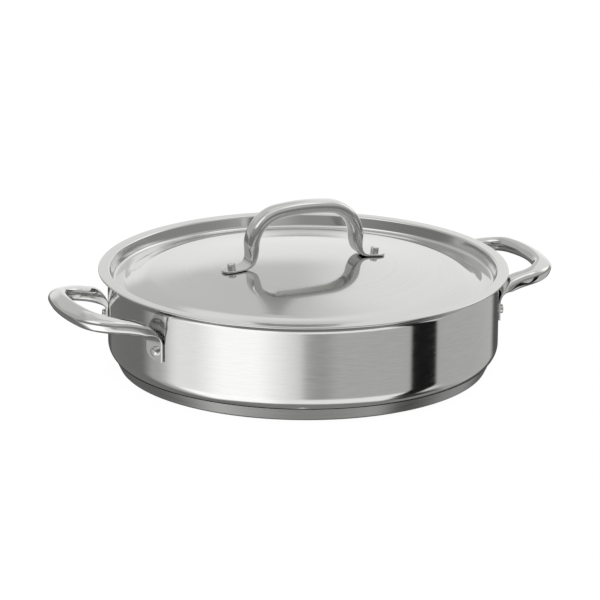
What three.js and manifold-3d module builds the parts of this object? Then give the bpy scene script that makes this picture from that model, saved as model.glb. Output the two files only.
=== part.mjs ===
// Wide, low stainless steel pan with two riveted loop handles and a sunk lid with an arch handle.
// Millimetres, +Z up, origin under the middle of the base, side handles along X.
import * as THREE from "three";
import { mergeVertices } from "three/addons/utils/BufferGeometryUtils.js";
import Module from "manifold-3d";

const wasm = await Module();
wasm.setup();

const degrees = Math.PI / 180;
const { lerp, smoothstep } = THREE.MathUtils;

// Pan shell, drawn from sheet
const panRadius = 141; // outside of the straight wall
const panHeight = 71.6; // top of the lip above the table
const panSheet = 0.9;
const panCorner = 11.5; // outside bend between floor and wall
const flareBend = 5; // outside bend between wall and lip
const flareAngle = 72 * degrees; // how far the lip leans out
const flareLip = 2; // straight end of the lip

// Base: an aluminium disc held by a steel cup
const coreThickness = 6.1;
const capSheet = 0.8;
const capEdge = 3; // bend round the foot
const footInset = 8.85; // from the wall in to the sharp edge of the foot
const seamAngle = 52 * degrees; // where the cup's rim meets the pan's corner, below level

// Fits
const seatGap = 0.3; // between pieces that touch
const rivetGap = 0.2; // round a rivet's shank

// Tubes of the handles, pressed flat into tabs at their ends
const tabThickness = 1.5;
const tabPower = 8; // squareness of a section, 2 being an ellipse
const legStraight = 1; // between the bend and the round corner of the grip

// Side handles
const loopWidth = 13.5; // section of the tube
const loopThickness = 10.3;
const loopPower = 2.8;
const handleReach = 40.9; // from the wall out to the middle of the grip
const legSpacing = 87.6;
const rivetSplay = 4.8; // each rivet stands this much outside its leg
const sideTabWidth = 17.4;
const sideTabTip = 7.1; // from the rivet's centre down to the tip
const sideTabShift = 1.9; // the tab's middle lies this much nearer the loop's middle than its rivet
const loopCorner = 23;
const loopBow = 110; // radius of the grip's gentle bow
const loopRise = 9.4 * degrees; // the loop climbs away from the wall
const legBank = 2 * degrees; // turn of the legs' inner edges
const gripBank = 31 * degrees; // turn of the grip's inner edge, upwards
const gripDrop = 9; // middle of the grip below the lip
const sideRivetDrop = 32.3; // rivets below the lip
const loopNeck = 4.85; // from the rivet's centre to where the bend starts
const loopFlat = 2.9; // length that stays flat beyond the neck
const loopOpening = 19; // length from the neck to where the tube is fully open
const loopTurnStart = 9; // length from the neck to where the tab's line starts to turn to the leg's
const loopTurnEnd = 33;
const loopTightness = 0.7; // 1 would be a sharp corner between tab and leg
const pressedOver = 0.27; // how far the flat length lies towards the hollow side of the bend

// Lid, pressed from sheet
const lidSheet = 0.9;
const skirtGap = 0.5; // beside the pan's lip
const skirtDrop = 0.5; // turned-down edge below the flange
const rimEdge = 1; // bend of that edge
const recessInset = 0.6; // from the pan's inner wall to the mouth of the recess
const recessLean = 2.3; // how much narrower the recess is at its foot
const recessDepth = 9.2; // flange to the ring at the foot
const recessMouthBend = 1.6;
const recessFootBend = 2.4;
const ringWidth = 8.2;
const ringBend = 8; // from the ring into the dome
const domeRise = 15.1;

// Lid handle, of a flatter tube
const archWidth = 14.4;
const archThickness = 9.4;
const archPower = 3;
const archSpacing = 81.5;
const archRise = 38.7; // middle of the grip above the crown of the dome
const archCorner = 24;
const archBow = 150; // radius of the grip's gentle bow
const lidRivetOffset = 15.2; // rivets outside the legs
const lidTabWidth = 15;
const lidTabTip = 7.6; // from the rivet's centre out to the rounded tip
const archNeck = 5.8;
const archOpening = 24;
const archTightness = 0.78;

// Rivets
const shankRadius = 2.5;
const sideHeadRadius = 3.45;
const sideHeadHeight = 2.2;
const lidHeadRadius = 3;
const lidHeadHeight = 3.8;
const headEdge = 0.7; // rounded edge of the button
const upsetOverhang = 1.25; // low head on the inside
const upsetHeight = 1.2;

// Facets
const turnSegments = 64;
const rivetSegments = 12;
const drillSegments = 12;
const arcError = 0.12; // most that a facet cuts inside a bend
const domeSteps = 5;
const ringPoints = 14;
const tabSteps = 5;
const bendSteps = 8;
const gripSteps = 8;

// Sizes that follow
const floorHeight = capSheet + seatGap + coreThickness + seatGap;
const lipLength = flareBend * Math.tan(flareAngle / 2) + flareLip;
const flareHeight =
  panHeight - (flareBend + panSheet) * Math.sin(flareAngle) - flareLip * Math.cos(flareAngle);
const flareCorner = flareHeight + flareBend * Math.tan(flareAngle / 2);
const lipRadius = panRadius + lipLength * Math.sin(flareAngle);
const lidSeat = panHeight + seatGap;
const lidRadius = lipRadius + skirtGap + lidSheet;
const recessRadius = panRadius - panSheet - recessInset;
const ringHeight = lidSheet - recessDepth; // heights on the lid are above the flange's underside
const domeRadius = recessRadius - recessLean - ringWidth;
const domeSphere = (domeRadius ** 2 + domeRise ** 2) / (2 * domeRise);
const crownHeight = ringHeight + domeRise;
const tabStandoff = seatGap + tabThickness / 2;
const sideTabAngle = Math.asin((legSpacing / 2 + rivetSplay) / (panRadius + tabStandoff));
const sideRivetHeight = panHeight - sideRivetDrop;
const lidRivetRadius = archSpacing / 2 + lidRivetOffset;
const lidTabSlope = Math.asin(lidRivetRadius / domeSphere);
const drillRadius = shankRadius + rivetGap;
const drillLength = 4 * (panSheet + lidSheet + tabThickness);

function steel(colour, roughness) {
  return new THREE.MeshStandardMaterial({ color: colour, metalness: 1, roughness });
}

function part(name, geometry, material) {
  const mesh = new THREE.Mesh(geometry, material);
  mesh.name = name;
  return mesh;
}

// Points through corners of [radius, height, bend], each bend an arc tangent to both sides.
function outline(corners) {
  const places = corners.map(([radius, height]) => new THREE.Vector2(radius, height));
  const points = [];
  places.forEach((corner, i) => {
    const bend = corners[i][2];
    if (!bend) {
      points.push(corner);
      return;
    }
    const back = places[i - 1].clone().sub(corner).normalize();
    const ahead = places[i + 1].clone().sub(corner).normalize();
    const half = back.angleTo(ahead) / 2;
    const middle = back.clone().add(ahead).normalize();
    const centre = corner.clone().addScaledVector(middle, bend / Math.sin(half));
    const turn = Math.PI - 2 * half;
    const side = Math.sign(back.cross(ahead));
    const facet = 2 * Math.acos(1 - Math.min(arcError / bend, 0.3));
    const steps = Math.max(1, Math.round(turn / facet));
    for (let k = 0; k <= steps; k++) {
      const angle = side * turn * (k / steps - 0.5);
      const arm = middle.clone().multiplyScalar(-bend).rotateAround(new THREE.Vector2(), -angle);
      points.push(centre.clone().add(arm));
    }
  });
  return points;
}

// The far face of a sheet whose near face is a row of points, its thickness to their left.
function offsetFace(points, thickness) {
  const ways = points.slice(1).map((point, i) => point.clone().sub(points[i]).normalize());
  return points.map((point, i) => {
    const before = ways[Math.max(i - 1, 0)];
    const after = ways[Math.min(i, ways.length - 1)];
    const mean = before.clone().add(after).normalize();
    const normal = new THREE.Vector2(-mean.y, mean.x);
    const moved = point.clone().addScaledVector(normal, thickness / mean.dot(before));
    moved.x = point.x === 0 ? 0 : moved.x;
    return moved;
  });
}

// A closed profile turned about Z.
function turned(profile, segments) {
  const points = THREE.ShapeUtils.area(profile) < 0 ? [...profile].reverse() : profile;
  return new THREE.LatheGeometry(points, segments).rotateX(Math.PI / 2);
}

function solid(geometry) {
  const bare = geometry.clone().deleteAttribute("normal").deleteAttribute("uv");
  const merged = mergeVertices(bare, 1e-3);
  const mesh = new wasm.Mesh({
    numProp: 3,
    vertProperties: merged.attributes.position.array,
    triVerts: new Uint32Array(merged.index.array),
  });
  return new wasm.Manifold(mesh);
}

// A geometry with a hole for a rivet at each place, along each place's way.
function drilled(geometry, places) {
  let body = solid(geometry);
  for (const { point, way } of places) {
    const drill = new THREE.CylinderGeometry(drillRadius, drillRadius, drillLength, drillSegments);
    const turn = new THREE.Quaternion().setFromUnitVectors(THREE.Object3D.DEFAULT_UP, way);
    drill.applyQuaternion(turn).translate(point.x, point.y, point.z);
    body = body.subtract(solid(drill));
  }
  const mesh = body.getMesh();
  const cut = new THREE.BufferGeometry();
  cut.setAttribute("position", new THREE.BufferAttribute(mesh.vertProperties, 3));
  cut.setIndex(new THREE.BufferAttribute(mesh.triVerts, 1));
  cut.computeVertexNormals();
  return cut;
}

// Where a rivet crosses the wall, at an angle round the pan.
function wallPlace(angle) {
  const way = new THREE.Vector3(Math.cos(angle), Math.sin(angle), 0);
  const point = way.clone().multiplyScalar(panRadius);
  point.z = sideRivetHeight;
  return { point, way };
}

function domeHeight(radius) {
  return crownHeight - domeSphere + Math.sqrt(domeSphere ** 2 - radius ** 2);
}

// Where a rivet crosses the lid, on the side of +X or -X.
function lidPlace(side) {
  const way = new THREE.Vector3(side * Math.sin(lidTabSlope), 0, Math.cos(lidTabSlope));
  const point = new THREE.Vector3(side * lidRivetRadius, 0, domeHeight(lidRivetRadius));
  return { point, way };
}

// Drawn shell: flat floor, round corner, straight wall and a lip that leans out.
function panShell() {
  const outside = outline([
    [0, floorHeight],
    [panRadius, floorHeight, panCorner],
    [panRadius, flareCorner, flareBend],
    [lipRadius, flareCorner + lipLength * Math.cos(flareAngle)],
  ]);
  const profile = [...outside, ...offsetFace(outside, panSheet).reverse()];
  const angles = [0, Math.PI].flatMap((side) => [side - sideTabAngle, side + sideTabAngle]);
  return drilled(turned(profile, turnSegments), angles.map(wallPlace));
}

// Cup under the base. Its rim ends against the round of the pan's corner.
function capCup() {
  const centre = new THREE.Vector2(panRadius - panCorner, floorHeight + panCorner);
  const reach = panCorner + seatGap;
  const rim = new THREE.Vector2(Math.cos(seamAngle), -Math.sin(seamAngle));
  rim.multiplyScalar(reach).add(centre);
  const outside = outline([[0, 0], [panRadius - footInset, 0, capEdge], [rim.x, rim.y]]);
  const inside = offsetFace(outside, capSheet);
  // The inner edge slides down the cone until it too lies on the round.
  const edge = inside.at(-1);
  const way = edge.clone().sub(inside.at(-2)).normalize();
  const arm = edge.clone().sub(centre);
  const along = arm.dot(way);
  const slide = -along - Math.sqrt(along ** 2 - arm.lengthSq() + reach ** 2);
  edge.addScaledVector(way, slide);
  return turned([...outside, ...inside.reverse()], turnSegments);
}

function coreDisc() {
  const radius = panRadius - footInset - capEdge;
  const bottom = capSheet + seatGap;
  const disc = new THREE.CylinderGeometry(radius, radius, coreThickness, turnSegments);
  return disc.rotateX(Math.PI / 2).translate(0, 0, bottom + coreThickness / 2);
}

// Pressed lid: turned-down edge, flat flange, sunk wall, narrow ring and a dome.
function lidSheetMetal() {
  const dome = [];
  for (let k = 0; k < domeSteps; k++) {
    const radius = (domeRadius * k) / domeSteps;
    dome.push([radius, domeHeight(radius)]);
  }
  const top = outline([
    ...dome,
    [domeRadius, ringHeight, ringBend],
    [recessRadius - recessLean, ringHeight, recessFootBend],
    [recessRadius, lidSheet, recessMouthBend],
    [lidRadius, lidSheet, rimEdge],
    [lidRadius, -skirtDrop],
  ]);
  const profile = [...top, ...offsetFace(top, -lidSheet).reverse()];
  return drilled(turned(profile, turnSegments), [-1, 1].map(lidPlace));
}

// Half of a hairpin in a plane: a straight leg, a round corner and the gentle bow of the grip.
function hairpinHalf(reach, spacing, corner, bow) {
  const leg = spacing / 2;
  const bowCentre = reach - bow;
  const cornerCentre = bowCentre + Math.sqrt((bow - corner) ** 2 - (leg - corner) ** 2);
  const meet = Math.asin((leg - corner) / (bow - corner));
  return new THREE.Path()
    .moveTo(cornerCentre - legStraight, leg)
    .lineTo(cornerCentre, leg)
    .absarc(cornerCentre, leg - corner, corner, Math.PI / 2, meet, true)
    .absarc(bowCentre, 0, bow, meet, 0, true);
}

// Points of a tube's section, from an ellipse to nearly a rectangle.
function sectionRing(centre, along, across, width, thickness, power) {
  const normal = along.clone().cross(across).normalize();
  const level = normal.clone().cross(along).normalize();
  const ring = [];
  for (let k = 0; k < ringPoints; k++) {
    const angle = (2 * Math.PI * (k + 0.5)) / ringPoints;
    const round = (value) => Math.sign(value) * Math.abs(value) ** (2 / power);
    const point = centre.clone();
    point.addScaledVector(level, (width / 2) * round(Math.cos(angle)));
    point.addScaledVector(normal, (thickness / 2) * round(Math.sin(angle)));
    ring.push(point);
  }
  return ring;
}

// Rings from the tip of a tab, through the bend where the flat end opens, to the middle of the grip.
function tubeHalf({ rivet, tab, tube, grip, gripAcross, bank }) {
  const rings = [];
  const middle = rivet.clone().addScaledVector(tab.across, tab.shift);
  // The tip is round on the inner side, and on the outer side too unless the tab is square there.
  for (let k = 1; k <= tabSteps; k++) {
    const turn = (Math.PI / 2) * (k / tabSteps);
    const inner = (tab.width / 2) * Math.sin(turn);
    const outer = tab.square ? tab.width / 2 : inner;
    const centre = middle.clone().addScaledVector(tab.way, -tab.tip * Math.cos(turn));
    centre.addScaledVector(tab.across, (inner - outer) / 2);
    rings.push(sectionRing(centre, tab.way, tab.across, inner + outer, tabThickness, tabPower));
  }
  const hollowSide = (along, across) => along.clone().cross(across).normalize();
  const pressed = (thickness) => ((tube.thickness - thickness) / 2) * tube.pressedOver;
  const neck = middle.clone().addScaledVector(tab.way, tube.neck);
  neck.addScaledVector(hollowSide(tab.way, tab.across), -pressed(tabThickness));
  const [start, ...others] = grip;
  // Distances from the neck and from the leg to the sharp corner where their lines pass.
  const apart = start.point.clone().sub(neck);
  const [up, out, lean] = [apart.dot(tab.way), apart.dot(start.way), tab.way.dot(start.way)];
  const fromNeck = (up - lean * out) / (1 - lean ** 2);
  const fromLeg = (out - lean * up) / (1 - lean ** 2);
  const bend = new THREE.CubicBezierCurve3(
    neck,
    neck.clone().addScaledVector(tab.way, fromNeck * tube.tightness),
    start.point.clone().addScaledVector(start.way, -fromLeg * tube.tightness),
    start.point,
  );
  const places = [];
  for (let k = 0; k <= bendSteps; k++) {
    places.push({ point: bend.getPoint(k / bendSteps), way: bend.getTangent(k / bendSteps) });
  }
  let length = 0;
  let before = neck;
  for (const { point, way } of [...places, ...others]) {
    length += point.distanceTo(before);
    before = point;
    const open = smoothstep(length, tube.flat, tube.opening);
    const turn = smoothstep(length, tube.turnStart, tube.turnEnd);
    const thickness = lerp(tabThickness, tube.thickness, open);
    const width = lerp(tab.width, tube.width, turn);
    const power = lerp(tabPower, tube.power, open);
    const across = tab.across.clone().lerp(gripAcross(way), turn);
    const centre = point.clone().addScaledVector(hollowSide(way, across), pressed(thickness));
    across.applyAxisAngle(way, -bank(way) * turn);
    rings.push(sectionRing(centre, way, across, width, thickness, power));
  }
  return rings;
}

// Points and ways along a hairpin, lifted from its plane into space.
function liftedGrip(hairpin, lift) {
  const along = hairpin.getSpacedPoints(gripSteps * 8).map(lift);
  const curve = new THREE.CatmullRomCurve3(along, false, "centripetal");
  const places = [];
  for (let k = 0; k <= gripSteps; k++) {
    places.push({ point: curve.getPointAt(k / gripSteps), way: curve.getTangentAt(k / gripSteps) });
  }
  return places;
}

// A closed tube: the half's rings, then the same rings mirrored, with a flat cap at each end.
function mirroredTube(half, mirror) {
  const rest = half.slice(0, -1).reverse();
  const rings = [...half, ...rest.map((ring) => ring.map((point) => point.clone().multiply(mirror)))];
  const index = [];
  for (let i = 0; i < rings.length - 1; i++) {
    for (let k = 0; k < ringPoints; k++) {
      const here = i * ringPoints + k;
      const next = i * ringPoints + ((k + 1) % ringPoints);
      index.push(here, next, next + ringPoints, here, next + ringPoints, here + ringPoints);
    }
  }
  const last = (rings.length - 1) * ringPoints;
  for (let k = 1; k < ringPoints - 1; k++) {
    index.push(0, k + 1, k, last, last + k, last + k + 1);
  }
  return new THREE.BufferGeometry().setFromPoints(rings.flat()).setIndex(index);
}

// Loop handle on the side of +X.
function loopTube() {
  const reach = panRadius + handleReach;
  const gripHeight = panHeight - gripDrop;
  const lift = ({ x, y }) => new THREE.Vector3(x, y, gripHeight + (x - reach) * Math.tan(loopRise));
  const hairpin = hairpinHalf(reach, legSpacing, loopCorner, loopBow);
  const { point, way } = wallPlace(sideTabAngle);
  const half = tubeHalf({
    rivet: point.clone().addScaledVector(way, tabStandoff),
    tab: {
      way: new THREE.Vector3(0, 0, 1),
      across: new THREE.Vector3(way.y, -way.x, 0),
      width: sideTabWidth,
      tip: sideTabTip,
      shift: sideTabShift,
      square: true,
    },
    tube: {
      width: loopWidth,
      thickness: loopThickness,
      power: loopPower,
      neck: loopNeck,
      flat: loopFlat,
      opening: loopOpening,
      turnStart: loopTurnStart,
      turnEnd: loopTurnEnd,
      tightness: loopTightness,
      pressedOver,
    },
    grip: liftedGrip(hairpin, lift),
    gripAcross: (along) => new THREE.Vector3(along.y, -along.x, 0).normalize(),
    bank: (along) => lerp(legBank, gripBank, along.y ** 2),
  });
  const tube = mirroredTube(half, new THREE.Vector3(1, -1, 1));
  return drilled(tube, [wallPlace(sideTabAngle), wallPlace(-sideTabAngle)]);
}

// Arch handle of the lid, upright in the plane of X and Z.
function archTube() {
  const { point, way } = lidPlace(1);
  const rivet = point.clone().addScaledVector(way, tabStandoff);
  const hairpin = hairpinHalf(crownHeight + archRise, archSpacing, archCorner, archBow);
  const half = tubeHalf({
    rivet,
    tab: {
      way: new THREE.Vector3(-way.z, 0, way.x),
      across: new THREE.Vector3(0, -1, 0),
      width: lidTabWidth,
      tip: lidTabTip,
      shift: 0,
      square: false,
    },
    tube: {
      width: archWidth,
      thickness: archThickness,
      power: archPower,
      neck: archNeck,
      flat: 0,
      opening: archOpening,
      turnStart: 0,
      turnEnd: archOpening,
      tightness: archTightness,
      pressedOver: 0,
    },
    grip: liftedGrip(hairpin, ({ x, y }) => new THREE.Vector3(y, 0, x)),
    gripAcross: () => new THREE.Vector3(0, -1, 0),
    bank: () => 0,
  });
  const tube = mirroredTube(half, new THREE.Vector3(-1, 1, 1));
  return drilled(tube, [lidPlace(1), lidPlace(-1)]);
}

// Rivet along Y from the sheet's outside: button head, shank and a low head behind the sheet.
function rivetTurned(sheet, headRadius, headHeight) {
  const seat = seatGap + tabThickness + seatGap;
  const upset = -sheet - seatGap;
  const upsetRadius = shankRadius + upsetOverhang;
  const profile = outline([
    [0, upset - upsetHeight],
    [shankRadius, upset - upsetHeight],
    [upsetRadius, upset],
    [shankRadius, upset],
    [shankRadius, seat],
    [headRadius, seat],
    [headRadius, seat + headHeight, headEdge],
    [0, seat + headHeight],
  ]);
  return new THREE.LatheGeometry(profile, rivetSegments);
}

function seatedRivet(name, { point, way }, geometry) {
  const rivet = part(name, geometry, steel(0xd4d4d1, 0.22));
  rivet.position.copy(point);
  rivet.quaternion.setFromUnitVectors(THREE.Object3D.DEFAULT_UP, way);
  return rivet;
}

const pan = new THREE.Group();
pan.add(
  part("pan_body", panShell(), steel(0xc4c4c1, 0.24)),
  part("base_core", coreDisc(), steel(0xb5b8ba, 0.5)),
  part("base_cap", capCup(), steel(0xbcbcb9, 0.3)),
);

// The loop nearer the viewer's right lies along +X; the other is the same piece turned half round.
const sides = [
  { side: "right", turn: 0, ends: ["rear", "front"] },
  { side: "left", turn: Math.PI, ends: ["front", "rear"] },
];
for (const { side, turn, ends } of sides) {
  const loop = new THREE.Group();
  loop.rotation.z = turn;
  const rivet = rivetTurned(panSheet, sideHeadRadius, sideHeadHeight);
  loop.add(
    part(`${side}_handle`, loopTube(), steel(0xcfcfcc, 0.26)),
    seatedRivet(`${side}_${ends[0]}_rivet`, wallPlace(sideTabAngle), rivet),
    seatedRivet(`${side}_${ends[1]}_rivet`, wallPlace(-sideTabAngle), rivet),
  );
  pan.add(loop);
}

const lid = new THREE.Group();
lid.position.z = lidSeat;
const lidRivet = rivetTurned(lidSheet, lidHeadRadius, lidHeadHeight);
lid.add(
  part("lid_plate", lidSheetMetal(), steel(0xd0d0cd, 0.3)),
  part("lid_handle", archTube(), steel(0xcfcfcc, 0.26)),
  seatedRivet("lid_left_rivet", lidPlace(-1), lidRivet),
  seatedRivet("lid_right_rivet", lidPlace(1), lidRivet),
);

const sautePan = new THREE.Group();
sautePan.add(pan, lid);

export default sautePan;
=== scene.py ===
# Saute pan with lid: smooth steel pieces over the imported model, studio light and the photograph's camera.
import math
import bmesh
import bpy
from mathutils import Matrix, Vector


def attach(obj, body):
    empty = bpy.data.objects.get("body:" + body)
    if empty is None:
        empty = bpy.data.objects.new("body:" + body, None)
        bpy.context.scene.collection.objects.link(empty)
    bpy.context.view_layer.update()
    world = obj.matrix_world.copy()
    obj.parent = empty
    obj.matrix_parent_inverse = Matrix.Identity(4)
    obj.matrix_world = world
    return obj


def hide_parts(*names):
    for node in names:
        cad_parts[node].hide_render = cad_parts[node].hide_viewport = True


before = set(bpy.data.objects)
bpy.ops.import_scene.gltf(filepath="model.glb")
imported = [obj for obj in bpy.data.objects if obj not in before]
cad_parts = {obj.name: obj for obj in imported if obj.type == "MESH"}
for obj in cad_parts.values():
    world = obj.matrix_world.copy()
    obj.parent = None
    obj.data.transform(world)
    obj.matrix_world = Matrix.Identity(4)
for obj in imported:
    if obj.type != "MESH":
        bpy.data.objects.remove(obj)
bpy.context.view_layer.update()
scene = bpy.context.scene
scene.view_settings.view_transform = "Standard"
print("frame loaded:", len(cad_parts), "nodes")

mm = 0.001
degree = math.pi / 180
seatGap = 0.3  # between pieces that touch, as packed
weld = 0.001 * mm  # points this close become one


def addNode(tree, kind, settings=None, inputs=None, links=None):
    node = tree.nodes.new(kind)
    for name, value in (settings or {}).items():
        setattr(node, name, value)
    for name, value in (inputs or {}).items():
        node.inputs[name].default_value = value
    for name, source in (links or {}).items():
        tree.links.new(source, node.inputs[name])
    return node


def linear(hexCode):
    shares = [int(hexCode[i:i + 2], 16) / 255 for i in (1, 3, 5)]
    return [s / 12.92 if s <= 0.04045 else ((s + 0.055) / 1.055) ** 2.4 for s in shares] + [1]


def mixed(a, b, share):
    return a + (b - a) * share


# Finishes. Brushing runs along U of the map "grain", so the sheen spreads across it: a quarter turn.
scratches = {"detail": 3, "fineness": 0.6, "shallowest": 0.3, "deepest": 0.7, "depth": 0.02, "quarterTurn": 0.25}


def steelFinish(name, finish):
    material = bpy.data.materials.new(name)
    material.use_nodes = True
    tree = material.node_tree
    shader = tree.nodes["Principled BSDF"]
    shader.inputs["Metallic"].default_value = 1
    shader.inputs["Anisotropic"].default_value = finish["spread"]
    shader.inputs["Anisotropic Rotation"].default_value = scratches["quarterTurn"]
    grain = addNode(tree, "ShaderNodeTangent", {"direction_type": "UV_MAP", "uv_map": "grain"})
    tree.links.new(grain.outputs[0], shader.inputs["Tangent"])
    place = addNode(tree, "ShaderNodeTexCoord").outputs["Object"]
    if finish["turned"]:
        # Radius plus height counts the brush lines across wall, bends and panel alike.
        parts = addNode(tree, "ShaderNodeSeparateXYZ", links={0: place})
        level = addNode(tree, "ShaderNodeVectorMath", {"operation": "MULTIPLY"}, {1: (1, 1, 0)}, {0: place})
        radius = addNode(tree, "ShaderNodeVectorMath", {"operation": "LENGTH"}, links={0: level.outputs[0]})
        line = addNode(tree, "ShaderNodeMath", links={0: radius.outputs["Value"], 1: parts.outputs["Z"]})
        count = addNode(tree, "ShaderNodeMath", {"operation": "MULTIPLY"}, {1: 1 / (finish["lineWidth"] * mm)},
                        {0: line.outputs[0]})
        slow = addNode(tree, "ShaderNodeVectorMath", {"operation": "SCALE"},
                       {"Scale": 1 / (finish["lineLength"] * mm)}, {0: level.outputs[0]})
        rise = addNode(tree, "ShaderNodeCombineXYZ", links={"Z": count.outputs[0]})
        place = addNode(tree, "ShaderNodeVectorMath", links={0: slow.outputs[0], 1: rise.outputs[0]}).outputs[0]
        scale = 1
    else:
        scale = 1 / (finish["lineWidth"] * mm)
    lines = addNode(tree, "ShaderNodeTexNoise", links={"Vector": place}, inputs={
        "Scale": scale, "Detail": scratches["detail"], "Roughness": scratches["fineness"]})
    rough = addNode(tree, "ShaderNodeMapRange", links={"Value": lines.outputs[0]}, inputs={
        "From Min": scratches["shallowest"], "From Max": scratches["deepest"],
        "To Min": finish["smoothest"], "To Max": finish["roughest"]})
    tree.links.new(rough.outputs[0], shader.inputs["Roughness"])
    tint = addNode(tree, "ShaderNodeMix", {"data_type": "RGBA"},
                   {6: linear(finish["dark"]), 7: linear(finish["light"])}, {0: lines.outputs[0]})
    tree.links.new(tint.outputs[2], shader.inputs["Base Color"])
    relief = addNode(tree, "ShaderNodeBump", links={"Height": lines.outputs[0]},
                     inputs={"Strength": finish["relief"], "Distance": scratches["depth"] * mm})
    tree.links.new(relief.outputs[0], shader.inputs["Normal"])
    return material


# Stainless steel, brushed round the wall with a fine belt: upright streaks of light, nearly a mirror sideways.
# Its lines, a tenth of a millimetre wide on a real pan, are drawn coarser so that they show.
wallSteel = steelFinish("stainlessBrushedWall", {
    "turned": True, "lineWidth": 1.1, "lineLength": 14, "dark": "#c2c2c0", "light": "#d8d8d6",
    "smoothest": 0.08, "roughest": 0.14, "spread": 0.72, "relief": 0.06,
})
# Stainless steel, spun satin on the lid: a soft fan of light round the middle.
lidSteel = steelFinish("stainlessSpunLid", {
    "turned": True, "lineWidth": 0.9, "lineLength": 120, "dark": "#cdcdcb", "light": "#d8d8d6",
    "smoothest": 0.06, "roughest": 0.085, "spread": 0.55, "relief": 0.006,
})
# Stainless steel, turned satin under the base: a duller band than the wall.
baseSteel = steelFinish("stainlessSatinBase", {
    "turned": True, "lineWidth": 0.9, "lineLength": 120, "dark": "#a2a2a0", "light": "#b0b0ae",
    "smoothest": 0.26, "roughest": 0.36, "spread": 0.6, "relief": 0.06,
})
# Stainless tube, satin polished by hand: soft edges of light that run along the tube.
handleSteel = steelFinish("stainlessSatinTube", {
    "turned": False, "lineWidth": 1.4, "dark": "#cfcfcd", "light": "#d8d8d6",
    "smoothest": 0.07, "roughest": 0.1, "spread": 0.25, "relief": 0.03,
})
# Stainless wire headed into rivets and buffed: small clear highlights.
rivetSteel = steelFinish("stainlessBuffedRivet", {
    "turned": False, "lineWidth": 0.8, "dark": "#d2d2d0", "light": "#dcdcda",
    "smoothest": 0.1, "roughest": 0.14, "spread": 0.1, "relief": 0.03,
})
# Aluminium disc as rolled: dull and faintly bluish, seen only if the base is opened.
coreAluminium = steelFinish("aluminiumRolledCore", {
    "turned": True, "lineWidth": 1.2, "lineLength": 40, "dark": "#b4b8ba", "light": "#c2c6c8",
    "smoothest": 0.42, "roughest": 0.52, "spread": 0.2, "relief": 0.1,
})
print("finishes made")


# Profiles in millimetres: points through corners of (radius, height, bend).
def outline(corners, facet=4):
    places = [Vector(corner[:2]) for corner in corners]
    points = []
    for i, corner in enumerate(corners):
        bend = corner[2] if len(corner) > 2 else 0
        if not bend:
            points.append(places[i])
            continue
        back = (places[i - 1] - places[i]).normalized()
        ahead = (places[i + 1] - places[i]).normalized()
        half = back.angle(ahead) / 2
        middle = (back + ahead).normalized()
        centre = places[i] + middle * (bend / math.sin(half))
        turn = math.pi - 2 * half
        side = math.copysign(1, back.cross(ahead))
        steps = max(3, round(turn / (facet * degree)))
        for k in range(steps + 1):
            arm = middle * -bend
            arm.rotate(Matrix.Rotation(-side * turn * (k / steps - 0.5), 2))
            points.append(centre + arm)
    return points


def supported(points, longest=3, near=0.2):
    # A straight gets a point just inside each end, so that it stays flat to the eye.
    made = [points[0]]
    for before, after in zip(points, points[1:]):
        way = after - before
        if way.length > longest:
            made += [before + way.normalized() * near, after - way.normalized() * near]
        made.append(after)
    return made


def offsetFace(points, thickness):
    ways = [(b - a).normalized() for a, b in zip(points, points[1:])]
    moved = []
    for i, point in enumerate(points):
        before = ways[max(i - 1, 0)]
        after = ways[min(i, len(ways) - 1)]
        mean = (before + after).normalized()
        far = point + Vector((-mean.y, mean.x)) * (thickness / mean.dot(before))
        far.x = 0 if point.x == 0 else far.x
        moved.append(far)
    return moved


def sheetProfile(face, thickness, steps=6):
    # Both faces of a sheet, with its cut edge rounded over.
    back = offsetFace(face, thickness)
    way = (face[-1] - face[-2]).normalized()
    middle, arm = (face[-1] + back[-1]) / 2, (face[-1] - back[-1]) / 2
    edge = [middle + arm * math.cos(math.pi * k / steps) + way * arm.length * math.sin(math.pi * k / steps)
            for k in range(1, steps)]
    return face + edge + back[::-1]


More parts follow.
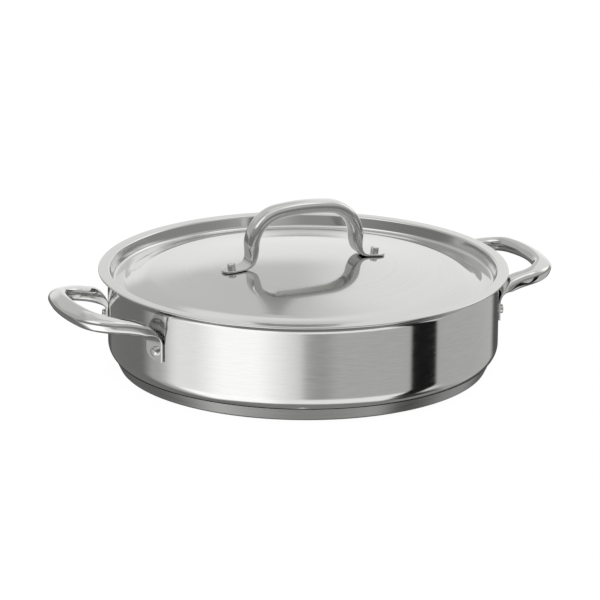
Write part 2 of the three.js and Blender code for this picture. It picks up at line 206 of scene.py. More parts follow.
def turnTree():
    tree = bpy.data.node_groups.new("turnProfile", "GeometryNodeTree")
    sockets = (("Profile", "Geometry"), ("Profile Points", "Int"), ("Segments", "Int"), ("Finish", "Material"))
    for name, kind in sockets:
        tree.interface.new_socket(name, in_out="INPUT", socket_type="NodeSocket" + kind)
    tree.interface.new_socket("Turned", in_out="OUTPUT", socket_type="NodeSocketGeometry")
    given = addNode(tree, "NodeGroupInput").outputs
    columns = addNode(tree, "ShaderNodeMath", inputs={1: 1}, links={0: given["Segments"]})
    grid = addNode(tree, "GeometryNodeMeshGrid",
                   links={"Vertices X": given["Profile Points"], "Vertices Y": columns.outputs[0]})
    shares = addNode(tree, "ShaderNodeSeparateXYZ", links={0: grid.outputs["UV Map"]}).outputs
    last = addNode(tree, "ShaderNodeMath", {"operation": "SUBTRACT"}, {1: 1}, {0: given["Profile Points"]})
    row = addNode(tree, "ShaderNodeMath", {"operation": "MULTIPLY"}, links={0: shares["X"], 1: last.outputs[0]})
    whole = addNode(tree, "ShaderNodeMath", {"operation": "ROUND"}, links={0: row.outputs[0]})
    here = addNode(tree, "GeometryNodeInputPosition")
    point = addNode(tree, "GeometryNodeSampleIndex", {"data_type": "FLOAT_VECTOR", "domain": "POINT"},
                    links={"Geometry": given["Profile"], "Value": here.outputs[0], "Index": whole.outputs[0]})
    angle = addNode(tree, "ShaderNodeMath", {"operation": "MULTIPLY"}, {1: 2 * math.pi}, {0: shares["Y"]})
    swung = addNode(tree, "ShaderNodeVectorRotate", {"rotation_type": "Z_AXIS"},
                    links={"Vector": point.outputs[0], "Angle": angle.outputs[0]})
    shape = addNode(tree, "GeometryNodeSetPosition",
                    links={"Geometry": grid.outputs["Mesh"], "Position": swung.outputs[0]})
    brushing = addNode(tree, "ShaderNodeCombineXYZ", links={"X": shares["Y"], "Y": shares["X"]})
    mapped = addNode(tree, "GeometryNodeStoreNamedAttribute", {"data_type": "FLOAT2", "domain": "CORNER"},
                     {"Name": "grain"}, {"Geometry": shape.outputs[0], "Value": brushing.outputs[0]})
    closed = addNode(tree, "GeometryNodeMergeByDistance", inputs={"Distance": weld},
                     links={"Geometry": mapped.outputs[0]})
    real = addNode(tree, "GeometryNodeRealizeInstances", links={"Geometry": closed.outputs[0]})
    painted = addNode(tree, "GeometryNodeSetMaterial",
                      links={"Geometry": real.outputs[0], "Material": given["Finish"]})
    addNode(tree, "NodeGroupOutput", links={0: painted.outputs[0]})
    return tree


def grown(name, mesh, tree, values):
    # The object's tree is run once and its result kept as a plain mesh.
    piece = bpy.data.objects.new(name, mesh)
    scene.collection.objects.link(piece)
    growth = piece.modifiers.new("growth", "NODES")
    growth.node_group = tree
    for item in tree.interface.items_tree:
        if item.in_out == "INPUT" and item.name in values:
            growth[item.identifier] = values[item.name]
    graph = bpy.context.evaluated_depsgraph_get()
    result = bpy.data.meshes.new_from_object(piece.evaluated_get(graph), preserve_all_data_layers=True, depsgraph=graph)
    piece.modifiers.clear()
    piece.data = result
    result.name = name
    bpy.data.meshes.remove(mesh)
    return piece


def smoothed(piece, sharpAngle=35):
    work = bmesh.new()
    work.from_mesh(piece.data)
    bmesh.ops.recalc_face_normals(work, faces=work.faces)
    for face in work.faces:
        face.smooth = True
    work.to_mesh(piece.data)
    work.free()
    piece.data.set_sharp_from_angle(angle=sharpAngle * degree)
    return piece


turning = turnTree()


def turnedPiece(name, profile, segments, finish):
    mesh = bpy.data.meshes.new(name)
    mesh.from_pydata([(p.x * mm, 0, p.y * mm) for p in profile], [], [])
    values = {"Profile Points": len(profile), "Segments": segments, "Finish": finish}
    return smoothed(grown(name, mesh, turning, values))


# Pan shell
pan = {
    "radius": 141, "height": 71.6, "sheet": 0.9, "corner": 11.5, "flareBend": 5, "flareAngle": 72,
    "flareLip": 2, "segments": 256,
}
base = {"core": 6.1, "sheet": 0.8, "edge": 3, "footInset": 8.85, "seamAngle": 52, "segments": 256}
floorHeight = base["sheet"] + seatGap + base["core"] + seatGap
flare = pan["flareAngle"] * degree
lipLength = pan["flareBend"] * math.tan(flare / 2) + pan["flareLip"]
flareHeight = (pan["height"] - (pan["flareBend"] + pan["sheet"]) * math.sin(flare)
               - pan["flareLip"] * math.cos(flare))
flareCorner = flareHeight + pan["flareBend"] * math.tan(flare / 2)
lipRadius = pan["radius"] + lipLength * math.sin(flare)


def panProfile():
    lip = lipLength - pan["sheet"] / 2
    outside = outline([
        (0, floorHeight),
        (pan["radius"], floorHeight, pan["corner"]),
        (pan["radius"], flareCorner, pan["flareBend"]),
        (pan["radius"] + lip * math.sin(flare), flareCorner + lip * math.cos(flare)),
    ])
    return sheetProfile(supported(outside), pan["sheet"])


panBody = turnedPiece("pan_shell", panProfile(), pan["segments"], wallSteel)
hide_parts("pan_body")
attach(panBody, "pan")


# Cup pressed over the base
def cupProfile():
    centre = Vector((pan["radius"] - pan["corner"], floorHeight + pan["corner"]))
    reach = pan["corner"] + seatGap
    seam = base["seamAngle"] * degree
    rim = centre + Vector((math.cos(seam), -math.sin(seam))) * reach
    outside = supported(outline([(0, 0), (pan["radius"] - base["footInset"], 0, base["edge"]), tuple(rim)]))
    inside = offsetFace(outside, base["sheet"])
    way = (inside[-1] - inside[-2]).normalized()
    arm = inside[-1] - centre
    along = arm.dot(way)
    inside[-1] += way * (-along - math.sqrt(along ** 2 - arm.length_squared + reach ** 2))
    return outside + inside[::-1]


baseCup = turnedPiece("base_cup", cupProfile(), base["segments"], baseSteel)
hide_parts("base_cap")
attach(baseCup, "pan")
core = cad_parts["base_core"]
core.material_slots[0].material = coreAluminium
print("pan shell and base made")

# Lid, pressed from sheet. Heights on it are above the underside of its flange.
lid = {
    "sheet": 0.9, "skirtGap": 0.5, "skirtDrop": 0.5, "rimEdge": 0.85, "recessInset": 0.6, "recessLean": 2.3,
    "recessDepth": 9.2, "mouthBend": 1.6, "footBend": 2.4, "ringWidth": 8.2, "ringBend": 8, "crown": 6.8,
    "slopes": ((0, 0), (80, 8.5), (110, 5.2), (118, 19.5), (124, 20)), "domeStep": 1.5, "segments": 256,
}
lidSeat = pan["height"] + seatGap
lidRadius = lipRadius + lid["skirtGap"] + lid["sheet"]
recessRadius = pan["radius"] - pan["sheet"] - lid["recessInset"]
ringHeight = lid["sheet"] - lid["recessDepth"]
domeRadius = recessRadius - lid["recessLean"] - lid["ringWidth"]


def domeFall(radius):
    # Drop from the crown and slope in degrees: a gentle dome with a soft shoulder near the ring.
    drop = slope = 0
    for (near, nearSlope), (far, farSlope) in zip(lid["slopes"], lid["slopes"][1:]):
        run = min(radius, far) - near
        if run > 0:
            slope = mixed(nearSlope, farSlope, run / (far - near))
            drop += run * math.tan((nearSlope + slope) / 2 * degree)
    return drop, slope


def lidProfile():
    reach = lid["slopes"][-1][0]
    spots = [k * lid["domeStep"] for k in range(round(reach / lid["domeStep"]) + 1)]
    dome = [(spot, lid["crown"] - domeFall(spot)[0]) for spot in spots]
    top = outline(dome + [
        (domeRadius, ringHeight, lid["ringBend"]),
        (recessRadius - lid["recessLean"], ringHeight, lid["footBend"]),
        (recessRadius, lid["sheet"], lid["mouthBend"]),
        (lidRadius, lid["sheet"], lid["rimEdge"]),
        (lidRadius, -lid["skirtDrop"] + lid["sheet"] / 2),
    ])
    raised = [Vector((p.x, p.y + lidSeat)) for p in supported(top)]
    return sheetProfile(raised, -lid["sheet"])


lidPlate = turnedPiece("lid_sheet", lidProfile(), lid["segments"], lidSteel)
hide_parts("lid_plate")
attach(lidPlate, "lid")
print("lid made")

# Handle tubes, pressed flat into tabs at their ends
tube = {
    "tabThickness": 1.5, "tabPower": 8, "legStraight": 1, "ringPoints": 56, "tabSteps": 14, "bendSteps": 40,
    "gripSteps": 44,
}
loop = {
    "width": 13.5, "thickness": 10.3, "power": 2.8, "reach": 40.9, "spacing": 87.6, "rivetSplay": 4.8,
    "tabWidth": 17.4, "tabTip": 7.1, "tabShift": 1.9, "corner": 23, "bow": 110, "rise": 9.4, "legBank": 2,
    "gripBank": 31, "gripDrop": 9, "rivetDrop": 32.3, "neck": 4.85, "flat": 2.9, "opening": 19, "turnStart": 9,
    "turnEnd": 33, "tightness": 0.7, "pressedOver": 0.27,
}
arch = {
    "width": 14.4, "thickness": 9.4, "power": 3, "spacing": 81.5, "rise": 38.7, "corner": 24, "bow": 150,
    "rivetOffset": 15.2, "tabWidth": 15, "tabTip": 7.6, "neck": 5.8, "flat": 0, "opening": 24, "turnStart": 0,
    "turnEnd": 24, "tightness": 0.78, "pressedOver": 0,
}
tabStandoff = seatGap + tube["tabThickness"] / 2
sideTabAngle = math.asin((loop["spacing"] / 2 + loop["rivetSplay"]) / (pan["radius"] + tabStandoff))
sideRivetHeight = pan["height"] - loop["rivetDrop"]
lidRivetRadius = arch["spacing"] / 2 + arch["rivetOffset"]
lidTabDrop, lidTabSlope = domeFall(lidRivetRadius)


def wallPlace(angle):
    way = Vector((math.cos(angle), math.sin(angle), 0))
    return way * pan["radius"] + Vector((0, 0, sideRivetHeight)), way


def lidPlace(side):
    way = Vector((side * math.sin(lidTabSlope * degree), 0, math.cos(lidTabSlope * degree)))
    return Vector((side * lidRivetRadius, 0, lid["crown"] - lidTabDrop + lidSeat)), way


def smoothStep(value, low, high):
    share = min(max((value - low) / (high - low), 0), 1)
    return share * share * (3 - 2 * share)


def hairpinPlaces(reach, spacing, corner, bow):
    # Points and ways from the end of a leg, round the corner, to the middle of the bowed grip.
    leg = spacing / 2
    bowCentre = reach - bow
    cornerCentre = bowCentre + math.sqrt((bow - corner) ** 2 - (leg - corner) ** 2)
    meet = math.asin((leg - corner) / (bow - corner))
    lengths = [tube["legStraight"], corner * (math.pi / 2 - meet), bow * meet]
    places = []
    for k in range(tube["gripSteps"] + 1):
        run = sum(lengths) * k / tube["gripSteps"]
        if run < lengths[0]:
            places.append((Vector((cornerCentre - lengths[0] + run, leg)), Vector((1, 0))))
            continue
        run -= lengths[0]
        if run < lengths[1]:
            angle, centre, radius = math.pi / 2 - run / corner, Vector((cornerCentre, leg - corner)), corner
        else:
            angle, centre, radius = meet - (run - lengths[1]) / bow, Vector((bowCentre, 0)), bow
        arm = Vector((math.cos(angle), math.sin(angle)))
        places.append((centre + arm * radius, Vector((arm.y, -arm.x))))
    return places


def sectionRing(centre, along, across, width, thickness, power):
    normal = along.cross(across).normalized()
    level = normal.cross(along).normalized()
    ring = []
    for k in range(tube["ringPoints"]):
        angle = 2 * math.pi * (k + 0.5) / tube["ringPoints"]
        c, s = [math.copysign(abs(v) ** (2 / power), v) for v in (math.cos(angle), math.sin(angle))]
        ring.append(centre + level * (width / 2 * c) + normal * (thickness / 2 * s))
    return ring


def tubeHalf(size, rivet, tab, grip, gripAcross, bank):
    rings = []
    middle = rivet + tab["across"] * tab["shift"]
    for k in range(1, tube["tabSteps"] + 1):
        turn = math.pi / 2 * k / tube["tabSteps"]
        inner = tab["width"] / 2 * math.sin(turn)
        outer = tab["width"] / 2 if tab["square"] else inner
        centre = middle - tab["way"] * (tab["tip"] * math.cos(turn)) + tab["across"] * ((inner - outer) / 2)
        rings.append(sectionRing(centre, tab["way"], tab["across"], inner + outer, tube["tabThickness"],
                                 tube["tabPower"]))
    pressed = (size["thickness"] - tube["tabThickness"]) / 2 * size["pressedOver"]
    neck = middle + tab["way"] * size["neck"] - tab["way"].cross(tab["across"]) * pressed
    start, startWay = grip[0]
    apart = start - neck
    up, out, lean = apart.dot(tab["way"]), apart.dot(startWay), tab["way"].dot(startWay)
    fromNeck = (up - lean * out) / (1 - lean ** 2)
    fromLeg = (out - lean * up) / (1 - lean ** 2)
    pull = [neck, neck + tab["way"] * (fromNeck * size["tightness"]),
            start - startWay * (fromLeg * size["tightness"]), start]
    places = []
    for k in range(tube["bendSteps"] + 1):
        t = k / tube["bendSteps"]
        point = (pull[0] * (1 - t) ** 3 + pull[1] * (3 * t * (1 - t) ** 2)
                 + pull[2] * (3 * t * t * (1 - t)) + pull[3] * t ** 3)
        way = ((pull[1] - pull[0]) * (1 - t) ** 2 + (pull[2] - pull[1]) * (2 * t * (1 - t))
               + (pull[3] - pull[2]) * t * t)
        places.append((point, way.normalized()))
    length, before = 0, neck
    for point, way in places + grip[1:]:
        length += (point - before).length
        before = point
        opened = smoothStep(length, size["flat"], size["opening"])
        turn = smoothStep(length, size["turnStart"], size["turnEnd"])
        thickness = mixed(tube["tabThickness"], size["thickness"], opened)
        across = tab["across"].lerp(gripAcross(way), turn)
        hollow = way.cross(across).normalized()
        centre = point + hollow * ((size["thickness"] - thickness) / 2 * size["pressedOver"])
        across.rotate(Matrix.Rotation(-bank(way) * turn, 3, way))
        rings.append(sectionRing(centre, way, across, mixed(tab["width"], size["width"], turn), thickness,
                                 mixed(tube["tabPower"], size["power"], opened)))
    return rings


def tubePiece(name, half, mirror, turn):
    rings = half + [[Vector(a * b for a, b in zip(point, mirror)) for point in ring] for ring in half[-2::-1]]
    swing = Matrix.Rotation(turn, 3, "Z")
    count = tube["ringPoints"]
    work = bmesh.new()
    grain = work.loops.layers.uv.new("grain")
    rows = [[work.verts.new(swing @ point * mm) for point in ring] for ring in rings]
    for i in range(len(rows) - 1):
        for k in range(count):
            n = (k + 1) % count
            face = work.faces.new((rows[i][k], rows[i][n], rows[i + 1][n], rows[i + 1][k]))
            spots = ((i, k), (i, k + 1), (i + 1, k + 1), (i + 1, k))
            for corner, (a, b) in zip(face.loops, spots):
                corner[grain].uv = (a / (len(rows) - 1), b / count)
    for row in (rows[0], rows[-1]):
        work.faces.new(row)
    mesh = bpy.data.meshes.new(name)
    work.to_mesh(mesh)
    work.free()
    mesh.materials.append(handleSteel)
    piece = bpy.data.objects.new(name, mesh)
    scene.collection.objects.link(piece)
    return smoothed(piece)


def loopHalf():
    reach = pan["radius"] + loop["reach"]
    climb = math.tan(loop["rise"] * degree)
    gripHeight = pan["height"] - loop["gripDrop"]
    grip = []
    for point, way in hairpinPlaces(reach, loop["spacing"], loop["corner"], loop["bow"]):
        grip.append((Vector((point.x, point.y, gripHeight + (point.x - reach) * climb)),
                     Vector((way.x, way.y, way.x * climb)).normalized()))
    point, way = wallPlace(sideTabAngle)
    tab = {"way": Vector((0, 0, 1)), "across": Vector((way.y, -way.x, 0)), "width": loop["tabWidth"],
           "tip": loop["tabTip"], "shift": loop["tabShift"], "square": True}
    return tubeHalf(loop, point + way * tabStandoff, tab, grip, lambda w: Vector((w.y, -w.x, 0)).normalized(),
                    lambda w: mixed(loop["legBank"], loop["gripBank"], w.y ** 2) * degree)


def archHalf():
    point, way = lidPlace(1)
    grip = []
    for spot, along in hairpinPlaces(lid["crown"] + arch["rise"], arch["spacing"], arch["corner"], arch["bow"]):
        grip.append((Vector((spot.y, 0, spot.x + lidSeat)), Vector((along.y, 0, along.x))))
    tab = {"way": Vector((-way.z, 0, way.x)), "across": Vector((0, -1, 0)), "width": arch["tabWidth"],
           "tip": arch["tabTip"], "shift": 0, "square": False}
    return tubeHalf(arch, point + way * tabStandoff, tab, grip, lambda w: Vector((0, -1, 0)), lambda w: 0)


for side, turn in (("right", 0), ("left", math.pi)):
    handle = tubePiece(side + "_loop", loopHalf(), (1, -1, 1), turn)
    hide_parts(side + "_handle")
    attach(handle, "pan")
archHandle = tubePiece("lid_arch", archHalf(), (-1, 1, 1), 0)
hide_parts("lid_handle")
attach(archHandle, "lid")
print("handles made")

# Rivets: a button head outside and a low head inside, put on every marked place.
rivets = {"upsetRadius": 3.75, "upsetHeight": 1.2, "columns": 48, "rows": 20, "wallRoundness": 4.5,
          "lidRoundness": 6, "upsetRoundness": 2.4, "underShare": 0.1, "weld": 0.0001}
sideRivet = {"radius": 3.45, "height": 2.2}
lidRivet = {"radius": 3, "height": 3.8}


def buttonTree():
    tree = bpy.data.node_groups.new("buttonHead", "GeometryNodeTree")
    for name in ("Radius", "Height", "Roundness"):
        tree.interface.new_socket(name, in_out="INPUT", socket_type="NodeSocketFloat")
    tree.interface.new_socket("Button", in_out="OUTPUT", socket_type="NodeSocketGeometry")
    given = addNode(tree, "NodeGroupInput").outputs
    grid = addNode(tree, "GeometryNodeMeshGrid",
                   inputs={"Vertices X": rivets["rows"] + 1, "Vertices Y": rivets["columns"] + 1})
    shares = addNode(tree, "ShaderNodeSeparateXYZ", links={0: grid.outputs["UV Map"]}).outputs
    # The first rows close the flat underside, the rest is a rounded button.
    under = addNode(tree, "ShaderNodeMapRange", inputs={"From Max": rivets["underShare"]}, links={"Value": shares["X"]})
    climb = addNode(tree, "ShaderNodeMapRange", inputs={"From Min": rivets["underShare"], "To Max": math.pi / 2},
                    links={"Value": shares["X"]})
    power = addNode(tree, "ShaderNodeMath", {"operation": "DIVIDE"}, {0: 2}, {1: given["Roundness"]})
    reach = {}
    for name, wave in (("Radius", "COSINE"), ("Height", "SINE")):
        curve = addNode(tree, "ShaderNodeMath", {"operation": wave}, links={0: climb.outputs[0]})
        above = addNode(tree, "ShaderNodeMath", {"operation": "MAXIMUM"}, {1: 0}, {0: curve.outputs[0]})
        shaped = addNode(tree, "ShaderNodeMath", {"operation": "POWER"},
                         links={0: above.outputs[0], 1: power.outputs[0]})
        reach[name] = addNode(tree, "ShaderNodeMath", {"operation": "MULTIPLY"},
                              links={0: shaped.outputs[0], 1: given[name]})
    width = addNode(tree, "ShaderNodeMath", {"operation": "MULTIPLY"},
                    links={0: reach["Radius"].outputs[0], 1: under.outputs[0]})
    spot = addNode(tree, "ShaderNodeCombineXYZ", links={"X": width.outputs[0], "Z": reach["Height"].outputs[0]})
    angle = addNode(tree, "ShaderNodeMath", {"operation": "MULTIPLY"}, {1: 2 * math.pi}, {0: shares["Y"]})
    swung = addNode(tree, "ShaderNodeVectorRotate", {"rotation_type": "Z_AXIS"},
                    links={"Vector": spot.outputs[0], "Angle": angle.outputs[0]})
    shape = addNode(tree, "GeometryNodeSetPosition",
                    links={"Geometry": grid.outputs["Mesh"], "Position": swung.outputs[0]})
    brushing = addNode(tree, "ShaderNodeCombineXYZ", links={"X": shares["Y"], "Y": shares["X"]})
    mapped = addNode(tree, "GeometryNodeStoreNamedAttribute", {"data_type": "FLOAT2", "domain": "CORNER"},
                     {"Name": "grain"}, {"Geometry": shape.outputs[0], "Value": brushing.outputs[0]})
    closed = addNode(tree, "GeometryNodeMergeByDistance", inputs={"Distance": rivets["weld"] * mm},
                     links={"Geometry": mapped.outputs[0]})
    addNode(tree, "NodeGroupOutput", links={0: closed.outputs[0]})
    return tree


def rivetTree():
    tree = bpy.data.node_groups.new("rivetsOnPlaces", "GeometryNodeTree")
    tree.interface.new_socket("Places", in_out="INPUT", socket_type="NodeSocketGeometry")
    for name in ("Head Radius", "Head Height", "Head Roundness", "Seat", "Sheet"):
        tree.interface.new_socket(name, in_out="INPUT", socket_type="NodeSocketFloat")
    tree.interface.new_socket("Finish", in_out="INPUT", socket_type="NodeSocketMaterial")
    tree.interface.new_socket("Rivets", in_out="OUTPUT", socket_type="NodeSocketGeometry")
    given = addNode(tree, "NodeGroupInput").outputs
    button = buttonTree()
    head = addNode(tree, "GeometryNodeGroup", {"node_tree": button},
                   links={name: given["Head " + name] for name in ("Radius", "Height", "Roundness")})
    seat = addNode(tree, "ShaderNodeCombineXYZ", links={"Z": given["Seat"]})
    outer = addNode(tree, "GeometryNodeTransform", links={"Geometry": head.outputs[0], "Translation": seat.outputs[0]})
    upset = addNode(tree, "GeometryNodeGroup", {"node_tree": button},
                    {"Radius": rivets["upsetRadius"] * mm, "Height": rivets["upsetHeight"] * mm,
                     "Roundness": rivets["upsetRoundness"]})
    behind = addNode(tree, "ShaderNodeMath", {"operation": "MULTIPLY"}, {1: -1}, {0: given["Sheet"]})
    back = addNode(tree, "ShaderNodeCombineXYZ", links={"Z": behind.outputs[0]})
    inner = addNode(tree, "GeometryNodeTransform", inputs={"Rotation": (math.pi, 0, 0)},
                    links={"Geometry": upset.outputs[0], "Translation": back.outputs[0]})
    whole = addNode(tree, "GeometryNodeJoinGeometry")
    for half in (outer, inner):
        tree.links.new(half.outputs[0], whole.inputs[0])
    way = addNode(tree, "GeometryNodeInputNamedAttribute", {"data_type": "FLOAT_VECTOR"}, {"Name": "way"})
    aim = addNode(tree, "FunctionNodeAlignRotationToVector", {"axis": "Z"}, links={"Vector": way.outputs[0]})
    placed = addNode(tree, "GeometryNodeInstanceOnPoints",
                     links={"Points": given["Places"], "Instance": whole.outputs[0], "Rotation": aim.outputs[0]})
    real = addNode(tree, "GeometryNodeRealizeInstances", links={"Geometry": placed.outputs[0]})
    painted = addNode(tree, "GeometryNodeSetMaterial", links={"Geometry": real.outputs[0], "Material": given["Finish"]})
    addNode(tree, "NodeGroupOutput", links={0: painted.outputs[0]})
    return tree


riveting = rivetTree()


def rivetPiece(name, places, size, roundness, sheet):
    mesh = bpy.data.meshes.new(name)
    mesh.from_pydata([point * mm for point, way in places], [], [])
    ways = mesh.attributes.new("way", "FLOAT_VECTOR", "POINT")
    for spot, (point, way) in zip(ways.data, places):
        spot.vector = way
    seat = seatGap + tube["tabThickness"]
    values = {"Head Radius": size["radius"] * mm, "Head Height": (size["height"] + seatGap) * mm,
              "Head Roundness": roundness, "Seat": seat * mm, "Sheet": sheet * mm, "Finish": rivetSteel}
    return smoothed(grown(name, mesh, riveting, values))


sideAngles = [middle + swing * sideTabAngle for middle in (0, math.pi) for swing in (-1, 1)]
sideRivets = rivetPiece("side_rivets", [wallPlace(angle) for angle in sideAngles], sideRivet,
                        rivets["wallRoundness"], pan["sheet"])
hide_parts("left_front_rivet", "left_rear_rivet", "right_front_rivet", "right_rear_rivet")
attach(sideRivets, "pan")
lidRivets = rivetPiece("lid_rivets", [lidPlace(side) for side in (-1, 1)], lidRivet,
                       rivets["lidRoundness"], lid["sheet"])
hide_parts("lid_left_rivet", "lid_right_rivet")
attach(lidRivets, "lid")
print("rivets made")

# Camera, fitted to the photograph
shot = {"turn": 23.8, "elevation": 17.06, "distance": 2866, "aim": 40, "lens": 237.9, "roll": 0.43,
        "right": 3.18, "down": 9.88, "frame": 600, "sensor": 36, "clip": 50}
turn, tilt = shot["turn"] * degree, shot["elevation"] * degree
back = Vector((-math.sin(turn) * math.cos(tilt), -math.cos(turn) * math.cos(tilt), math.sin(tilt)))
lens = bpy.data.cameras.new("photograph")
lens.lens, lens.sensor_width = shot["lens"], shot["sensor"]
lens.shift_x, lens.shift_y = -shot["right"] / shot["frame"], shot["down"] / shot["frame"]
lens.clip_end = shot["clip"]
camera = bpy.data.objects.new("photograph", lens)
scene.collection.objects.link(camera)
camera.location = (back * shot["distance"] + Vector((0, 0, shot["aim"]))) * mm
camera.rotation_mode = "QUATERNION"
aim = (-back).to_track_quat("-Z", "Y")
camera.rotation_quaternion = aim @ Matrix.Rotation(shot["roll"] * degree, 3, "Z").to_quaternion()
scene.camera = camera

# Studio: white all round, with soft boxes, grey cards and flags in front of it, as the steel mirrors them.
# Azimuths run to the right from the camera, in degrees; a later card stands before an earlier one.
studio = {
    "level": 1,
    "cards": [
        {"name": "room", "azimuth": (-150, 104), "elevation": (12, 66), "soft": (10, 4), "level": 0.58},
        {"name": "room behind", "azimuth": (90, 266), "elevation": (53, 76), "soft": (10, 5), "level": 0.72},
        {"name": "top soft box", "azimuth": (78, 160), "elevation": (59, 76), "soft": (12, 4), "level": 1.35},
        {"name": "panel behind", "azimuth": (177, 232), "elevation": (16, 42), "soft": (4, 5), "level": 0.71},
        {"name": "right soft box", "azimuth": (109, 141), "elevation": (14, 44), "soft": (6, 4), "level": 1.4},
        {"name": "room under soft box", "azimuth": (-95, 10), "elevation": (11, 29), "soft": (10, 5), "level": 0.36},
        {"name": "left soft box", "azimuth": (-80, -30), "elevation": (31, 64), "soft": (8, 4), "level": 1.42},
        {"name": "low backdrop", "azimuth": (158, 202), "elevation": (-12, 9), "soft": (6, 3), "level": 1.0},
        {"name": "left side", "azimuth": (-150, -95), "elevation": (2, 18), "soft": (8, 4), "level": 0.55},
        {"name": "low room", "azimuth": (-105, 150), "elevation": (-14, 13), "soft": (9, 4), "level": 0.33},
        {"name": "low room left", "azimuth": (-98, 2), "elevation": (-14, 11), "soft": (8, 4), "level": 0.24},
        {"name": "right table", "azimuth": (-3, 157), "elevation": (-44, -12), "soft": (6, 2), "level": 0.59},
        {"name": "near table", "azimuth": (-110, 90), "elevation": (-62, -27.5), "soft": (12, 4), "level": 1.2},
        {"name": "table edge", "azimuth": (-116, -82), "elevation": (-62, -12), "soft": (6, 2), "level": 0.55},
        {"name": "lit table", "azimuth": (-86, -3), "elevation": (-62, -12), "soft": (10, 2), "level": 1.18},
        {"name": "bright middle", "azimuth": (-57, -18), "elevation": (-62, -12), "soft": (12, 2), "level": 1.58},
        {"name": "bright foot", "azimuth": (-80, -26), "elevation": (-62, -29), "soft": (8, 5), "level": 1.6},
        {"name": "gap beside lit table", "azimuth": (4, 17), "elevation": (-26, -12), "soft": (6, 2), "level": 0.47},
        {"name": "right foot", "azimuth": (100, 170), "elevation": (-64, -42), "soft": (12, 5), "level": 0.33},
        {"name": "under the pan", "azimuth": (-180, 180), "elevation": (-119, -61), "soft": (5, 3), "level": 0.29},
        {"name": "left wing", "azimuth": (-168, -103), "elevation": (-74, 2), "soft": (7, 4), "level": 0.22},
        {"name": "black flag", "azimuth": (66.3, 84.8), "elevation": (-50, -6), "soft": (1.2, 4), "level": 0.012},
        {"name": "flag foot", "azimuth": (76, 114), "elevation": (-62, -43), "soft": (5, 4), "level": 0.06},
        {"name": "dark behind", "azimuth": (149, 203), "elevation": (-60, -13), "soft": (5, 2), "level": 0.1},
    ],
}


def studioWorld():
    world = bpy.data.worlds.new("studio")
    scene.world = world
    world.use_nodes = True
    tree = world.node_tree
    tree.nodes.clear()
    around = addNode(tree, "ShaderNodeTexCoord").outputs["Generated"]
    faced = addNode(tree, "ShaderNodeVectorRotate", {"rotation_type": "Z_AXIS"}, {"Angle": turn}, {"Vector": around})
    parts = addNode(tree, "ShaderNodeSeparateXYZ", links={0: faced.outputs[0]}).outputs
    nearer = addNode(tree, "ShaderNodeMath", {"operation": "MULTIPLY"}, {1: -1}, {0: parts["Y"]})
    swing = addNode(tree, "ShaderNodeMath", {"operation": "ARCTAN2"}, links={0: parts["X"], 1: nearer.outputs[0]})
    height = addNode(tree, "ShaderNodeMath", {"operation": "ARCSINE"}, links={0: parts["Z"]})
    level = free = None
    for card in studio["cards"]:
        masks = []
        for source, key, soft in zip((swing, height), ("azimuth", "elevation"), card["soft"]):
            middle, half = sum(card[key]) / 2, (card[key][1] - card[key][0]) / 2
            off = addNode(tree, "ShaderNodeMath", {"operation": "SUBTRACT"}, {1: middle * degree},
                          {0: source.outputs[0]})
            turned = addNode(tree, "ShaderNodeMath", {"operation": "WRAP"}, {1: math.pi, 2: -math.pi},
                             {0: off.outputs[0]})
            far = addNode(tree, "ShaderNodeMath", {"operation": "ABSOLUTE"}, links={0: turned.outputs[0]})
            masks.append(addNode(tree, "ShaderNodeMapRange", {"interpolation_type": "SMOOTHSTEP"}, {
                "From Min": (half + soft) * degree, "From Max": (half - soft) * degree}, {"Value": far.outputs[0]}))
        mask = addNode(tree, "ShaderNodeMath", {"operation": "MULTIPLY"},
                       links={0: masks[0].outputs[0], 1: masks[1].outputs[0]})
        step = addNode(tree, "ShaderNodeMix", {"data_type": "FLOAT", "label": card["name"]},
                       {2: studio["level"], 3: card["level"]}, {0: mask.outputs[0]})
        rest = addNode(tree, "ShaderNodeMix", {"data_type": "FLOAT"}, {2: 1, 3: 0}, {0: mask.outputs[0]})
        if level:
            tree.links.new(level.outputs[0], step.inputs[2])
            tree.links.new(free.outputs[0], rest.inputs[2])
        level, free = step, rest
    light = addNode(tree, "ShaderNodeBackground", inputs={"Color": (1, 1, 1, 1)}, links={"Strength": level.outputs[0]})
    white = addNode(tree, "ShaderNodeBackground", inputs={"Color": (1, 1, 1, 1), "Strength": 1})
    # The camera sees plain white, and so do metal and glass wherever no card stands.
    rays = addNode(tree, "ShaderNodeLightPath").outputs
    mirrored = addNode(tree, "ShaderNodeMath", {"operation": "MAXIMUM"},
                       links={0: rays["Is Glossy Ray"], 1: rays["Is Transmission Ray"]})
    between = addNode(tree, "ShaderNodeMath", {"operation": "MULTIPLY"},
                      links={0: mirrored.outputs[0], 1: free.outputs[0]})
    whiteShare = addNode(tree, "ShaderNodeMath", {"operation": "MAXIMUM"},
                         links={0: rays["Is Camera Ray"], 1: between.outputs[0]})
    seen = addNode(tree, "ShaderNodeMixShader",
                   links={0: whiteShare.outputs[0], 1: light.outputs[0], 2: white.outputs[0]})
    addNode(tree, "ShaderNodeOutputWorld", links={"Surface": seen.outputs[0]})


studioWorld()


# Table: pale matt sheet that glows up to white for the camera, less in the pan's shadow.
table = {"half": 6, "paper": "#e8e8e8", "glow": 0.96, "matt": 0.08}


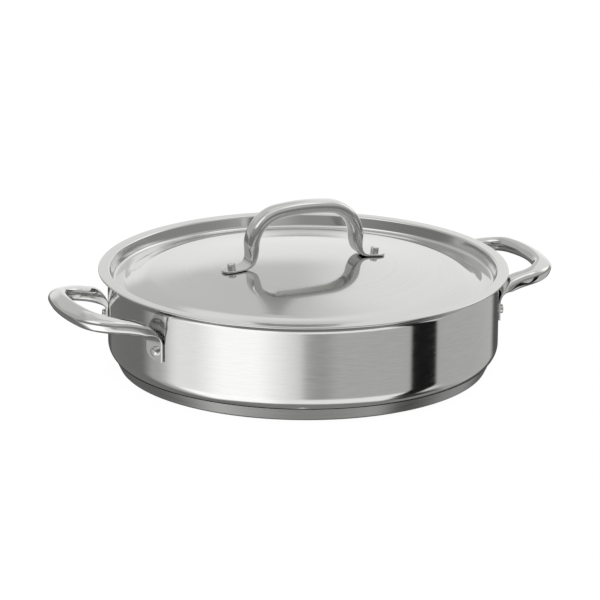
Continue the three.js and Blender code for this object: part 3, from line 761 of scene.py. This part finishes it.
def tableTop():
    mesh = bpy.data.meshes.new("table")
    h = table["half"]
    mesh.from_pydata([(-h, -h, 0), (h, -h, 0), (h, h, 0), (-h, h, 0)], [], [(0, 1, 2, 3)])
    top = bpy.data.objects.new("table", mesh)
    scene.collection.objects.link(top)
    material = bpy.data.materials.new("paperSweep")
    material.use_nodes = True
    tree = material.node_tree
    tree.nodes.clear()
    rays = addNode(tree, "ShaderNodeLightPath").outputs
    plain = addNode(tree, "ShaderNodeBsdfDiffuse", inputs={"Color": linear(table["paper"])})
    matt = addNode(tree, "ShaderNodeBsdfDiffuse", inputs={"Color": (table["matt"], table["matt"], table["matt"], 1)})
    glow = addNode(tree, "ShaderNodeEmission", inputs={"Strength": table["glow"]})
    white = addNode(tree, "ShaderNodeAddShader", links={0: matt.outputs[0], 1: glow.outputs[0]})
    seen = addNode(tree, "ShaderNodeMixShader",
                   links={0: rays["Is Camera Ray"], 1: plain.outputs[0], 2: white.outputs[0]})
    addNode(tree, "ShaderNodeOutputMaterial", links={"Surface": seen.outputs[0]})
    mesh.materials.append(material)
    top.visible_glossy = False  # the metal sees the studio's own table light, cards included


tableTop()


# Flag: grey card held level in front of the rim. It hides the lit table from the arch, not from the wall below it.
flag = {"height": 73, "near": 152, "far": 430, "azimuth": (-34, 62), "steps": 24, "level": 0.24}


def flagCard():
    low, high = [angle * degree - turn - math.pi / 2 for angle in flag["azimuth"]]
    swings = [mixed(low, high, k / flag["steps"]) for k in range(flag["steps"] + 1)]
    rows = [[(math.cos(a) * reach * mm, math.sin(a) * reach * mm, flag["height"] * mm) for a in swings]
            for reach in (flag["near"], flag["far"])]
    count = len(swings)
    mesh = bpy.data.meshes.new("flag")
    mesh.from_pydata(rows[0] + rows[1], [], [(k, k + 1, count + k + 1, count + k) for k in range(count - 1)])
    material = bpy.data.materials.new("greyFlag")
    material.use_nodes = True
    tree = material.node_tree
    tree.nodes.clear()
    glow = addNode(tree, "ShaderNodeEmission", inputs={"Strength": flag["level"]})
    addNode(tree, "ShaderNodeOutputMaterial", links={"Surface": glow.outputs[0]})
    mesh.materials.append(material)
    card = bpy.data.objects.new("flag", mesh)
    scene.collection.objects.link(card)
    card.visible_camera = card.visible_diffuse = card.visible_shadow = card.visible_transmission = False


flagCard()
print("camera, studio and table made")
